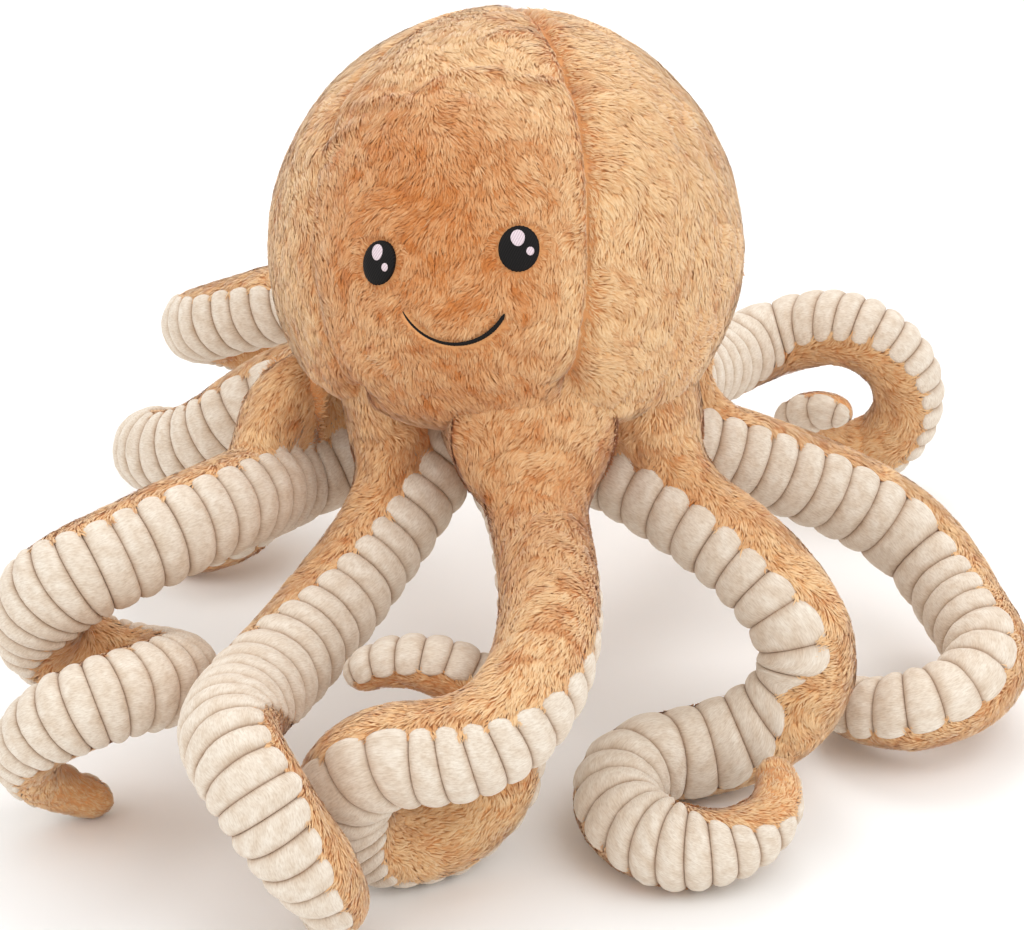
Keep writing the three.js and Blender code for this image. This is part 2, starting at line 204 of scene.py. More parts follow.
class Wiring:
    # a short way to add and join shader nodes
    def __init__(self, name):
        self.material = bpy.data.materials.new(name)
        self.material.use_nodes = True
        self.tree = self.material.node_tree
        self.shader = self.tree.nodes["Principled BSDF"]

    def add(self, kind, inputs=None, **settings):
        node = self.tree.nodes.new(kind)
        for key, value in settings.items():
            setattr(node, key, value)
        for key, value in (inputs or {}).items():
            if isinstance(value, bpy.types.NodeSocket):
                self.tree.links.new(value, node.inputs[key])
            else:
                node.inputs[key].default_value = value
        return node

    def ramp(self, share, stops):
        node = self.add("ShaderNodeValToRGB", {"Fac": share})
        elements = node.color_ramp.elements
        while len(elements) < len(stops):
            elements.new(0.5)
        for element, (place, colour) in zip(elements, stops):
            element.position, element.color = place, screen(*colour)
        return node.outputs["Color"]

    def mix(self, kind, share, first, second):
        # the node's sockets 0, 6 and 7 are the share and the two colours
        inputs = {0: share, 6: first, 7: second}
        return self.add("ShaderNodeMix", inputs, data_type="RGBA", blend_type=kind).outputs[2]

    def finish(self, colour, roughness, sheen=0.0, bump=None, strength=0.3, depth=0.0003, shine=0.3):
        levels = {"Roughness": roughness, "Specular IOR Level": shine, "Sheen Weight": sheen,
                  "Sheen Roughness": 0.5, "Sheen Tint": (1.0, 0.93, 0.85, 1.0)}
        for key, value in levels.items():
            self.shader.inputs[key].default_value = value
        self.tree.links.new(colour, self.shader.inputs["Base Color"])
        if bump is not None:
            node = self.add("ShaderNodeBump", {"Height": bump, "Strength": strength, "Distance": depth})
            self.tree.links.new(node.outputs["Normal"], self.shader.inputs["Normal"])
        return self.material


def furFinish():
    # the pile's own map: across is the strand's shade, painted light and shade included, up is the height
    # along the strand
    look = finishes["fur"]
    wires = Wiring("longPile")
    place = wires.add("ShaderNodeUVMap", uv_map="OFBake")
    split = wires.add("ShaderNodeSeparateXYZ", {"Vector": place.outputs["UV"]})
    height = wires.ramp(split.outputs["Y"], [
        (0.0, look["root"]), (0.42, look["middle"]), (1.0, look["tip"])])
    shade = wires.ramp(split.outputs["X"], [(0.0, look["deepShade"]), (1.0, look["paleShade"])])
    return wires.finish(wires.mix("MULTIPLY", 1.0, height, shade), 0.8, sheen=0.4, shine=0.1)


def ribFinish():
    # short nap: paler on a rib's crest and darker, warmer in its crease, which is painted shade, with rows
    # of fine pile along the arm
    look = finishes["ribs"]
    wires = Wiring("ribbedPlush")
    crest = wires.add("ShaderNodeAttribute", attribute_name="crest").outputs["Fac"]
    # painted shade: the crest mark's low end, in the creases and at the ribs' ends, takes the crease
    # colour
    creaseShadedTone = wires.ramp(crest, [(0.0, look["creaseShade"]), (0.45, look["fleck"]), (0.85, look["crest"])])
    place = wires.add("ShaderNodeUVMap", uv_map="cloth")
    rows = wires.add("ShaderNodeMapping", {"Vector": place.outputs["UV"], "Scale": (1500, 420, 1)})
    nap = wires.add("ShaderNodeTexNoise", {"Vector": rows.outputs["Vector"], "Scale": 1.0,
                                           "Detail": 3.0, "Roughness": 0.6})
    patch = wires.add("ShaderNodeTexNoise", {"Vector": place.outputs["UV"], "Scale": 160.0, "Detail": 4.0})
    fleck = wires.ramp(nap.outputs["Fac"], [(0.25, (222, 212, 202)), (0.6, (255, 255, 255))])
    cloud = wires.ramp(patch.outputs["Fac"], [(0.3, (238, 230, 222)), (0.65, (255, 255, 255))])
    colour = wires.mix("MULTIPLY", 1.0, wires.mix("MULTIPLY", 0.8, creaseShadedTone, fleck), cloud)
    return wires.finish(colour, 0.9, sheen=0.3, bump=nap.outputs["Fac"], strength=0.5, depth=0.0005)


def stuffingFinish():
    look = finishes["stuffing"]
    wires = Wiring("fibreFill")
    place = wires.add("ShaderNodeTexCoord")
    wool = wires.add("ShaderNodeTexNoise",
                     {"Vector": place.outputs["Object"], "Scale": 220.0, "Detail": 5.0})
    # painted shade: darker in the fibre's hollows, where the same noise sinks the bump
    colour = wires.ramp(wool.outputs["Fac"], [(0.3, look["hollowShade"]), (0.7, look["fibre"])])
    return wires.finish(colour, 1.0, bump=wool.outputs["Fac"], strength=0.6, depth=0.002)


def threadFinish(name, look):
    # satin stitch: close parallel threads across the patch, from the map's own millimetres, darker between
    # the threads as painted shade where the bump sinks
    wires = Wiring(name)
    place = wires.add("ShaderNodeUVMap", uv_map="stitch")
    threads = wires.add("ShaderNodeTexWave", {"Vector": place.outputs["UV"], "Scale": 0.36,
                                              "Distortion": 0.8, "Detail": 1.0},
                        wave_type="BANDS", bands_direction="X")
    colour = wires.ramp(threads.outputs["Fac"], [(0.1, look["between"]), (0.7, look["thread"])])
    return wires.finish(colour, 0.6, bump=threads.outputs["Fac"], strength=0.4, depth=0.0002, shine=0.2)


furCloth, ribCloth, fillCloth = furFinish(), ribFinish(), stuffingFinish()
blackThread = threadFinish("blackThread", finishes["blackThread"])
whiteThread = threadFinish("whiteThread", finishes["whiteThread"])
print("finishes ready")


# long pile
pile = {"length": 4.8 * mm, "width": 0.68 * mm, "depth": 0.6 * mm, "arch": 0.2 * mm,
        "perMillimetre": 2.3, "tuftSize": 6.5 * mm, "tuftHeight": 0.5 * mm, "gather": 0.16,
        # swirls turn the comb, in degrees: how much, and the size of the broad and the fine ones
        "swirl": 64, "broad": 30 * mm, "fine": 9 * mm, "scatter": 11,
        # shade is from 0, deep, to 1, pale: a middle, clouds, tufts, flecks and single strands, and a tint
        # that carries painted light and shade
        "shade": 0.5, "cloud": 0.12, "cloudSize": 27 * mm, "tuftShade": 0.12,
        "fleck": 0.65, "fleckSize": 5 * mm, "fleckFrom": 0.25, "strandShade": 0.08}


def turned(vectors, normals, degrees):
    # each vector turned about its normal: v cos + (n x v) sin
    angle = np.radians(degrees)[:, None]
    return vectors * np.cos(angle) + np.cross(normals, vectors) * np.sin(angle)


def growPile(roots, normals, comb, length, seed, tint=0.0):
    # one strand is a flat leaf of four points, laid nearly along the cloth: base, two sides, tip.
    # Strands lie at every level of the pile, each tuft is a low dome, and the tips of one tuft
    # draw together. Soft noise turns the comb.
    chance = np.random.default_rng(seed)
    count = len(roots)
    swirl = pile["swirl"] * (drift(roots, pile["broad"]) + 0.8 * drift(roots, pile["fine"], 1))
    comb = unit(flatOn(comb, normals))
    share = length / pile["length"]
    calm = smooth((share - 0.5) * 2.5)
    comb = turned(comb, normals, swirl * calm + chance.normal(0, pile["scatter"], count))
    toward, own = nearestTuft(roots, pile["tuftSize"])
    pull = flatOn(toward, normals)
    dome = 1 - np.clip((pull ** 2).sum(axis=1) / (0.75 * pile["tuftSize"]) ** 2, 0, 1)
    long = (length * (1 + 0.15 * own) * chance.uniform(0.75, 1.15, count))[:, None]
    level = chance.random(count)
    body = pile["depth"] * level + pile["tuftHeight"] * (0.5 * dome + 0.25 + 0.25 * own)
    body, arch = (body * share)[:, None], (pile["arch"] * share)[:, None]
    base = roots + normals * (body * 0.8 - 0.15 * mm)
    middle = roots + normals * (body + arch) + comb * long * 0.45 + pull * pile["gather"] * 0.4
    tip = roots + normals * (body + arch * 0.3) + comb * long + pull * pile["gather"]
    side = turned(np.cross(comb, normals), normals, chance.normal(0, 10, count))
    half = (pile["width"] / 2 * chance.uniform(0.7, 1.25, count) * share ** 0.5)[:, None]
    points = np.stack([base, middle - side * half, middle + side * half, tip], axis=1).reshape(-1, 3)
    leaves = (np.arange(count)[:, None, None] * 4 + np.array([[0, 2, 1], [1, 2, 3]])).reshape(-1, 3)
    fleck = (drift(roots, pile["fleckSize"], 2) - pile["fleckFrom"]).clip(0)
    shade = pile["shade"] + pile["cloud"] * drift(roots, pile["cloudSize"], 3) + pile["tuftShade"] * own
    # the tint brings painted light and shade from the head and the tentacles
    shade = shade + tint - pile["fleck"] * fleck + chance.normal(0, pile["strandShade"], count)
    across = np.clip(shade, 0.04, 0.96)[:, None] + np.array([0.0, -0.02, 0.02, 0.0])
    upward = np.stack([0.3 * level, 0.2 + 0.5 * level, 0.2 + 0.5 * level, 0.4 + 0.6 * level], axis=1)
    spots = np.stack([across, upward], axis=-1).reshape(-1, 2)[leaves.ravel()]
    tilt = normals - pull / pile["tuftSize"] * 0.5 + chance.normal(0, 0.06, (count, 3))
    facing = unit(np.stack([tilt, tilt - side * 0.15, tilt + side * 0.15, tilt + comb * 0.1], axis=1))
    return points, leaves, spots, facing.reshape(-1, 3)


def plushPiece(name, skin, skinFaces, skinNormals, pileParts):
    # the backing and its pile as one cloth: the backing has the colour of the strands' lower part
    points, leaves, spots, facing = pileParts
    middle = skin[skinFaces].mean(axis=1)
    shade = np.clip(0.6 + 0.2 * drift(middle, pile["cloudSize"], 3), 0.05, 0.95)
    square = np.array([[-0.02, 0.2], [0.02, 0.2], [0.02, 0.25], [-0.02, 0.25]])
    ground = (np.stack([shade, np.zeros_like(shade)], axis=-1)[:, None] + square).reshape(-1, 2)
    return makePiece(name, np.concatenate([skin, points]), [skinFaces, leaves + len(skin)], [furCloth],
                     maps={"OFBake": np.concatenate([ground, spots])},
                     normals=np.concatenate([skinNormals, facing]))


# the head
head = {
    "skin": 97.0 * mm,
    "seams": [36, 108, 180, 252, 324],
    "seamStrength": [1.0, 0.8, 0.8, 0.8, 0.3],
    "leanBack": 22, "leanOver": -6,
    "bellyEdge": -66,
    "seamDepth": 3.0 * mm, "seamWidth": 2.2 * mm, "seamRoll": 1.8 * mm, "seamRollWidth": 11 * mm,
    "lumps": 1.2 * mm,
    # under the widest part the cloth draws in to the neck: rise in degrees, and how far in mm
    "tuckRise": [-66, -60, -54, -48, -42, -36, -30, -24],
    "tuckDeep": [0.0, 12.0, 22.0, 20.0, 14.0, 8.0, 3.0, 0.0],
    # soft folds in the cloth: from one bearing and rise to another, on the upright head, and the height
    "folds": [((-21, 52), (-15, 62), 0.8), ((-16, 62), (20, 63), 1.1), ((18, 62), (46, 59), 1.1),
              ((-8, 76), (63, 76), 1.0), ((-45, 48), (-20, 53), 1.0), ((-51, 29), (-36, 46), 0.9),
              ((58, 70), (94, 78), 1.1)],
    # the pinched ends of seams, each with its depth and width, and the grooves between two tentacles
    "knots": [((48, 60), 2.4, 4.5), ((31, -14), 5.0, 6.0), ((-26, -22), 4.0, 6.0), ((4, -27), 4.5, 6.5)],
    "grooves": [((31, -14), (45, -48)), ((4, -27), (0, -48)), ((-26, -21), (-45, -48)),
                ((90, -26), (90, -48)), ((135, -28), (135, -48)), ((180, -28), (180, -48)),
                ((225, -28), (225, -48)), ((270, -26), (270, -48))],
    "grooveDepth": 5.5 * mm, "grooveWidth": 6.5 * mm,
    # painted shade, deeper in colour, round each of these places and over the middle of the face, where it
    # is partly the pile's own deeper colour
    "shadePatches": [(2, 52), (-18, 40), (-35, 27), (1, 23), (-11, 33), (5, -8)],
    "patchShade": 0.1, "patchShadeWidth": 13 * mm,
    "shadedMiddle": (-8.0, 30.0), "middleShade": 0.17, "middleWidth": 0.6,
    # and painted light, paler where the lamps and the glancing sheen fall: the crown, the right and the
    # left of the face, with 0.5 as the most
    "litPalest": 0.5, "pale": {"crown": 0.45, "right": 0.4, "left": 0.42},
    # unevenness of the cloth along a seam
    "pucker": 0.5 * mm, "puckerWidth": 9 * mm, "puckerSize": 7 * mm,
}
crownTurn = turnAbout((0, 1, 0), head["leanOver"]) @ turnAbout((1, 0, 0), -head["leanBack"])


def alongArc(ways, start, stop):
    # where a direction lies on the arc between two others: its share, and its distance to one side
    start, stop = sphereWay(*start), sphereWay(*stop)
    step = stop - start
    share = np.clip(((ways - start) @ step) / (step @ step), 0, 1)
    near = unit(start + share[:, None] * step)
    offset = (ways - near) * head["skin"]
    side = offset @ unit(np.cross(step, start + stop))
    return share, side, np.linalg.norm(offset, axis=1)


def neckTuck(ways):
    # how far the cloth draws in, read from the tuck table at a direction's rise
    return np.interp(np.degrees(np.arcsin(ways[:, 2])), head["tuckRise"], head["tuckDeep"]) * mm


def headSkin(bearing, rise):
    # a ball in the seams' own frame. It dips at each seam, rolls up beside it and swells between,
    # and folds, knots and grooves are added along arcs.
    ways = sphereWay(bearing, rise) @ crownTurn.T
    ball = ways * head["skin"]
    gaps = np.abs((bearing[:, None] - np.array(head["seams"]) + 180) % 360 - 180)
    strength = np.array(head["seamStrength"])[gaps.argmin(axis=1)]
    away = np.radians(gaps.min(axis=1)) * head["skin"] * np.cos(np.radians(rise))
    out = head["skin"] - neckTuck(ways)
    out -= strength * head["seamDepth"] * np.exp(-(away / head["seamWidth"]) ** 2)
    out -= strength * head["seamRoll"] * np.exp(-(away / head["seamRollWidth"]) ** 2)
    pucker = strength * np.exp(-(away / head["puckerWidth"]) ** 2)
    out += pucker * head["pucker"] * drift(ball, head["puckerSize"], 1)
    out += head["lumps"] * (drift(ball, 44 * mm) + 0.4 * drift(ball, 19 * mm, 2))
    for start, stop, height in head["folds"]:
        share, side, reach = alongArc(ways, start, stop)
        body = np.sin(np.pi * share) ** 0.6 * height * mm
        body = body * np.exp(-((reach ** 2 - side ** 2).clip(0) ** 0.5 / (4 * mm)) ** 2)
        ridge, valley = np.exp(-(side / (3.2 * mm)) ** 2), np.exp(-((side + 6 * mm) / (4 * mm)) ** 2)
        out += body * (ridge - 0.6 * valley)
    for place, deep, wide in head["knots"]:
        reach = np.linalg.norm(ways - sphereWay(*place), axis=1) * head["skin"]
        out -= deep * mm * np.exp(-(reach / (wide * mm)) ** 2)
    for start, stop in head["grooves"]:
        share, side, reach = alongArc(ways, start, stop)
        across = np.exp(-(reach / head["grooveWidth"]) ** 2)
        out -= head["grooveDepth"] * smooth(share * 2.5 + 0.1) * across
    return headCentre + ways * out[:, None]


def headLightAndShade(points):
    # added to the pile's shade: painted light, paler on the crown and at both sides, and painted shade,
    # deeper round the patches and in the middle of the face, partly the pile's own colour there
    ways = unit(points - headCentre)
    pale, rightward, upward = head["pale"], ways[:, 0], ways[:, 2]
    tint = pale["crown"] * smooth((upward - 0.66) / 0.27)
    tint += pale["right"] * smooth((rightward - 0.28) / 0.35)
    tint = np.minimum(tint, head["litPalest"]) + pale["left"] * smooth((-rightward - 0.45) / 0.25)
    middle = np.linalg.norm(ways - sphereWay(*head["shadedMiddle"]), axis=1)
    tint = tint - head["middleShade"] * np.exp(-(middle / head["middleWidth"]) ** 2)
    for place in head["shadePatches"]:
        reach = np.linalg.norm(ways - sphereWay(*place), axis=1) * head["skin"]
        tint = tint - head["patchShade"] * np.exp(-(reach / head["patchShadeWidth"]) ** 2)
    return tint


def surfaceWays(shape, first, second, step):
    # normals by small steps: the cross of the change along one parameter with that along the other
    a = shape(first + step, second) - shape(first - step, second)
    b = shape(first, second + step) - shape(first, second - step)
    return unit(np.cross(a, b)), unit(a), unit(b)


def bellyRise(bearing):
    # the lowest rise of each meridian: where it meets the level plane of the belly's edge.
    # On a meridian the height is p sin(rise) + q cos(rise), which is solved in one line.
    level = math.sin(math.radians(head["bellyEdge"]))
    p = crownTurn[2, 2]
    q = heading(bearing) @ crownTurn[2]
    return np.degrees(np.arcsin(np.clip(level / np.hypot(p, q), -1, 1)) - np.arctan2(q, p))


# the face: where thread lies, and where the pile parts round it
face = {
    "eye": {"tall": 17.5 * mm, "lean": -8, "out": 98.2 * mm, "dome": 1.1 * mm},
    "eyes": {"left": {"at": (-15.5, 14.2), "wide": 13.6 * mm},
             "right": {"at": (18.3, 20.0), "wide": 15.6 * mm}},
    "large": {"wide": 5.6 * mm, "tall": 6.6 * mm, "across": -0.4 * mm, "up": 3.9 * mm},
    "small": {"wide": 3.2 * mm, "tall": 3.4 * mm, "across": 4.1 * mm, "up": -0.9 * mm},
    "smile": {"at": (3, 11.1), "radius": 22.8 * mm, "from": -60, "to": 66, "out": 98.7 * mm,
              # half its width in mm, at shares of its length
              "shares": [0, 0.06, 0.3, 0.6, 0.85, 0.97, 1],
              "halves": [0.2, 0.45, 0.6, 0.85, 1.0, 0.8, 0.3]},
}


def facePlane(place):
    # the flat frame that touches the head at a place: across, up and out
    bearing, rise = place
    return heading(bearing + 90), sphereWay(bearing, rise + 90), sphereWay(bearing, rise)


def onPlane(points, place):
    across, upward, out = facePlane(place)
    offset = points - headCentre
    ahead = offset @ out
    return np.where(ahead > 0, offset @ across, 9), np.where(ahead > 0, offset @ upward, 9)


def partPile(points, comb, length):
    # the pile is left out under the thread, and beside it it is shorter and combed away
    keep = np.ones(len(points), bool)
    eye, smile = face["eye"], face["smile"]
    for spot in face["eyes"].values():
        across, upward, _ = facePlane(spot["at"])
        x, y = onPlane(points, spot["at"])
        span = np.hypot(x / (spot["wide"] / 2), y / (eye["tall"] / 2))
        keep &= span > 0.97
        near = np.exp(-((span - 1) / 0.45).clip(0) ** 2)[:, None]
        out = unit(x[:, None] * across + y[:, None] * upward)
        comb = comb * (1 - near) + out * near * 1.2
        length = length * (1 - 0.45 * near[:, 0])
    across, upward, _ = facePlane(smile["at"])
    x, y = onPlane(points, smile["at"])
    angle = np.degrees(np.arctan2(x, -y))
    reach = np.hypot(x, y) - smile["radius"]
    inside = (angle > smile["from"] - 3) & (angle < smile["to"] + 3) & (np.hypot(x, y) < 1)
    keep &= ~(inside & (np.abs(reach) < 1.1 * mm))
    near = (np.exp(-(reach / (4.2 * mm)) ** 2) * inside)[:, None]
    out = unit(x[:, None] * across + y[:, None] * upward) * np.sign(reach)[:, None]
    comb = comb * (1 - near) + out * near * 1.2
    length = length * (1 - 0.55 * near[:, 0])
    return keep, comb, length


def makeGore(name, node, seam):
    # one gore between two seams: rows from the crown to the belly's edge, columns across
    rows, columns = 70, 42
    bearing, share = np.meshgrid(np.linspace(seam, seam + 72, columns), np.linspace(0, 1, rows))
    rise = 89.6 + (bellyRise(bearing) + 0.3 - 89.6) * share
    bearing, rise = bearing.ravel(), rise.ravel()
    skin = headSkin(bearing, rise)
    ways, _, _ = surfaceWays(headSkin, bearing, rise, 0.15)
    faces = gridFaces(rows, columns)[:, ::-1]

    chance = np.random.default_rng(seam)
    area = math.radians(72) * 2 * (head["skin"] / mm) ** 2
    count = int(area * pile["perMillimetre"])
    bearing = seam + 72 * chance.random(count)
    rise = np.degrees(np.arcsin(np.clip(chance.uniform(-1, 1, count), -0.9999, 0.9999)))
    keep = rise > bellyRise(bearing) + 0.5
    bearing, rise = bearing[keep], rise[keep]
    roots = headSkin(bearing, rise)
    normals, east, _ = surfaceWays(headSkin, bearing, rise, 0.1)
    level = head["skin"] * np.cos(np.radians(rise))
    beside = np.radians(bearing - seam - 36) * level
    edge = np.radians(36) * level - np.abs(beside)
    fromSeam = -np.sign(beside)[:, None] * east * np.exp(-(edge / (17 * mm)) ** 2)[:, None]
    ends = [head["seams"].index(seam), (head["seams"].index(seam) + 1) % 5]
    strength = np.array(head["seamStrength"])[ends][(beside > 0).astype(int)]
    comb = np.array([0, 0, -1.0]) + 0.25 * east + 0.95 * strength[:, None] * fromSeam
    length = pile["length"] * (1 - 0.35 * strength * np.exp(-(edge / (3 * mm)) ** 2))
    keep, comb, length = partPile(roots, comb, length)
    # the head's painted light and shade, passed to the pile as a tint
    tint = headLightAndShade(roots)[keep]
    grown = growPile(roots[keep], normals[keep], comb[keep], length[keep], seam + 1, tint)
    piece = plushPiece(name, skin, faces, ways, grown)
    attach(piece, "head")
    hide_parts(node)


goreNames = ["right", "back_right", "back_left", "left", "face"]
for goreName, seam in zip(goreNames, head["seams"]):
    makeGore(f"plush_panel_{goreName}", f"head_panel_{goreName}", seam)
print("head panels sewn and combed")


belly = {"strands": 9000, "pile": 6 * mm, "sunk": 0.6 * mm}


def makeBelly():
    # the round panel under the head: rings about the lowest point, out to its edge
    rings, columns = 16, 60
    turn, share = np.meshgrid(np.linspace(0, 360, columns, endpoint=False), np.linspace(0, 1, rings))
    rise = -90 + (90 + head["bellyEdge"]) * np.maximum(share, 0.01)
    out = head["skin"] - belly["sunk"]
    ways = sphereWay(turn.ravel(), rise.ravel())
    skin = headCentre + ways * out
    faces = gridFaces(rings, columns, wrap=True)
    chance = np.random.default_rng(5)
    count = belly["strands"]
    bearing = 360 * chance.random(count)
    rise = -90 + (90 + head["bellyEdge"]) * np.sqrt(chance.random(count))
    normals = sphereWay(bearing, rise)
    roots = headCentre + normals * out
    grown = growPile(roots, normals, heading(bearing), np.full(count, belly["pile"]), 6)
    piece = plushPiece("plush_panel_belly", skin, faces, ways, grown)
    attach(piece, "head")
    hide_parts("belly_panel")


makeBelly()


def makeFilling(name, node, points, rows, columns, body=None):
    # a closed stuffing body: a grid that wraps, with a point at each end
    faces = gridFaces(rows, columns, wrap=True)
    points, caps = tubeCaps(points, rows, columns)
    piece = makePiece(name, points, [faces, caps], [fillCloth])
    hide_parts(node)
    if body:
        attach(piece, body)
    return piece


turn, rise = np.meshgrid(np.linspace(0, 360, 48, endpoint=False), np.linspace(-88, 88, 30))
fillWays = sphereWay(turn.ravel(), rise.ravel())
fillPoints = headCentre + fillWays * (head["skin"] - 9 * mm - neckTuck(fillWays))[:, None]
makeFilling("fill_head", "head_stuffing", fillPoints, 30, 48, "head")


# embroidery
def makePatch(name, node, place, size, centre, out, dome, cloth, lean=0.0):
    # a satin-stitched oval: rings from the middle to the rim, domed as 1 - share^4, on the ball
    rings, columns = 14, 64
    around = np.linspace(0, 2 * np.pi, columns, endpoint=False)
    share, turn = cornerTable(np.linspace(0.02, 1, rings), around)
    rim = 1 + 0.012 * np.sin(turn * 31) * share ** 6
    x = share * rim * np.cos(turn) * size[0] / 2
    y = share * rim * np.sin(turn) * size[1] / 2
    c, s = math.cos(math.radians(lean)), math.sin(math.radians(lean))
    x, y = (x * c - y * s + centre[0]).ravel(), (x * s + y * c + centre[1]).ravel()
    across, upward, ahead = facePlane(place)
    height = out + dome * (1 - share.ravel() ** 4)
    ways = unit(ahead * out + x[:, None] * across + y[:, None] * upward)
    points = headCentre + ways * height[:, None]
    skirt = headCentre + ways[-columns:] * (out - 3.5 * mm)
    points = np.concatenate([points, skirt])
    faces = gridFaces(rings + 1, columns, wrap=True)
    hub = np.arange(columns)
    caps = np.stack([np.full(columns, len(points)), hub, (hub + 1) % columns], axis=1)
    points = np.concatenate([points, [points[:columns].mean(axis=0)]])
    flat = np.stack([x, y], axis=1)
    flat = np.concatenate([flat, flat[-columns:], [centre]]) / mm
    slanted = flat @ np.array([[math.cos(0.5), math.sin(0.5)], [-math.sin(0.5), math.cos(0.5)]])
    corners = np.concatenate([faces.ravel(), caps.ravel()])
    piece = makePiece(name, points, [faces, caps], [cloth], maps={"stitch": slanted[corners]})
    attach(piece, "head")
    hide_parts(node)


eye = face["eye"]
for sideName, pupil in face["eyes"].items():
    place, narrow = pupil["at"], pupil["wide"] / face["eyes"]["right"]["wide"]
    makePatch(f"stitched_eye_{sideName}", f"eye_{sideName}", place, (pupil["wide"], eye["tall"]), (0, 0),
              eye["out"], eye["dome"], blackThread, eye["lean"])
    for glint in ("large", "small"):
        spot = face[glint]
        makePatch(f"stitched_{glint}_glint_{sideName}", f"eye_{sideName}_{glint}_glint", place,
                  (spot["wide"] * narrow, spot["tall"]), (spot["across"] * narrow, spot["up"]),
                  eye["out"] + eye["dome"] * 0.82, 0.45 * mm, whiteThread)


def makeSmile():
    # a stitched line: a flat cord carried along an arc, thin at its ends and thick in its middle
    smile = face["smile"]
    rows, columns = 110, 12
    around = np.linspace(0, 2 * np.pi, columns, endpoint=False)
    share, turn = cornerTable(np.linspace(0, 1, rows), around)
    angle = np.radians(smile["from"] + (smile["to"] - smile["from"]) * share)
    body = np.interp(share, smile["shares"], smile["halves"]) * mm
    twist = 1 + 0.1 * np.sin(share * 2 * np.pi * 42 + turn)
    radius = smile["radius"] + body * np.cos(turn) * twist
    x, y = (np.sin(angle) * radius).ravel(), (-np.cos(angle) * radius).ravel()
    across, upward, ahead = facePlane(smile["at"])
    ways = unit(ahead * smile["out"] + x[:, None] * across + y[:, None] * upward)
    height = smile["out"] + (body * np.sin(turn) * 0.7 * twist).ravel()
    points = headCentre + ways * height[:, None]
    faces = gridFaces(rows, columns, wrap=True)[:, ::-1]
    points, caps = tubeCaps(points, rows, columns, flip=True)
    flat = np.stack([(share * 47).ravel(), (turn * 0.3).ravel()], axis=1)
    flat = np.concatenate([flat, flat[:1], flat[-1:]])
    corners = np.concatenate([faces.ravel(), caps.ravel()])
    piece = makePiece("stitched_smile", points, [faces, caps], [blackThread],
                      maps={"stitch": flat[corners]})
    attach(piece, "head")
    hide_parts("mouth")


makeSmile()
print("face embroidered")


# the tentacles
arm = {"radius": 20.5 * mm, "tip": 8 * mm, "tipRound": 8.8 * mm, "slimming": 3 * mm,
       "full": 0.4, "slim": 0.8, "rootReach": 55 * mm, "inHead": 16 * mm,
       "fillet": 28 * mm, "filletEnd": 85 * mm,
       "furEdge": 95, "pileDepth": 2.1 * mm, "seamDip": 1.6 * mm, "thinBelow": 15 * mm, "tint": 0.34,
       # strands by the head's count, and the stuffing's depth under the cloth and short of the tip
       "strands": 0.8, "stuffing": 7.6 * mm, "shortBy": 7 * mm,
       # under the head the pile gets painted shade, deeper in colour: where, how much, and over what
       # distance
       "shadePlace": {"bearing": 22.5, "reach": 80 * mm, "height": 0.1}, "underHeadShade": 0.7, "underHeadShadeWidth": 55 * mm}
ribs = {"pitch": 12 * mm, "uneven": 0.07, "depth": 2.8 * mm, "round": 0.42, "overlap": 7,
        "endDrop": 2.4 * mm, "endWidth": 9, "samples": 12, "columns": 48,
        # soft noise on the ribs: depth and size of the fine and the broad
        "fine": (0.2 * mm, 1.6 * mm), "broad": (0.35 * mm, 9 * mm)}
floorGap = 0.25 * mm

